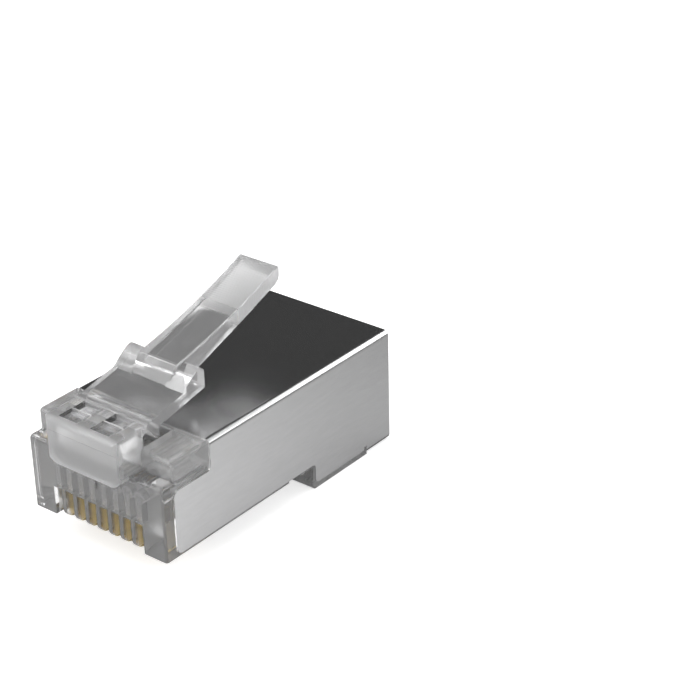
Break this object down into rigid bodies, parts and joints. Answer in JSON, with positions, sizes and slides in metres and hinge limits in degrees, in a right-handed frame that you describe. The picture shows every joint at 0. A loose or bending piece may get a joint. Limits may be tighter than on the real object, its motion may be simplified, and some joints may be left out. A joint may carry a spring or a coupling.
{
  "type": "rj45 modular plug",
  "caption": "Clear modular plug in a folded nickel sheet shield, with a sprung latch, gold blade contacts and two strain relief bars, not yet crimped.",
  "frame": {"origin": "centre of the plug's plan, at the underside of its rear block", "axes": "+X across the plug, +Y towards the cable, +Z towards the latch side"},
  "size_m": [0.0116, 0.0238, 0.0147],
  "materials": {
    "clear_plastic": "clear moulded polycarbonate, glossy, finely frosted on the outer half of the lever",
    "nickel_sheet": "bright nickel plated sheet, lightly satin on the sides",
    "gold_plate": "gold plated edges, duller olive gold on the flat sides"
  },
  "bodies": {
    "plug_body": {"housing": "clear_plastic", "shield": "nickel_sheet"},
    "latch": {"latch": "clear_plastic"},
    "contacts": {"contact_1": "gold_plate", "contact_2": "gold_plate", "contact_3": "gold_plate", "contact_4": "gold_plate", "contact_5": "gold_plate", "contact_6": "gold_plate", "contact_7": "gold_plate", "contact_8": "gold_plate"},
    "conductor_clamp": {"conductor_clamp": "clear_plastic"},
    "jacket_clamp": {"jacket_clamp": "clear_plastic"}
  },
  "joints": [
    {"name": "latch_flex", "type": "hinge", "parent": "plug_body", "child": "latch", "pos_m": [0, -0.00877, 0.00965], "axis": [-1, 0, 0], "range_deg": [0, 15], "stiffness_Nm_per_rad": 0.15},
    {"name": "contact_crimp", "type": "slide", "parent": "plug_body", "child": "contacts", "axis": [0, 0, 1], "range_m": [0, 0.0012]},
    {"name": "conductor_clamp_press", "type": "slide", "parent": "plug_body", "child": "conductor_clamp", "axis": [0, 0, 1], "range_m": [0, 0.001]},
    {"name": "jacket_clamp_press", "type": "hinge", "parent": "plug_body", "child": "jacket_clamp", "pos_m": [0, 0.00464, 0.00195], "axis": [1, 0, 0], "range_deg": [0, 35]}
  ]
}
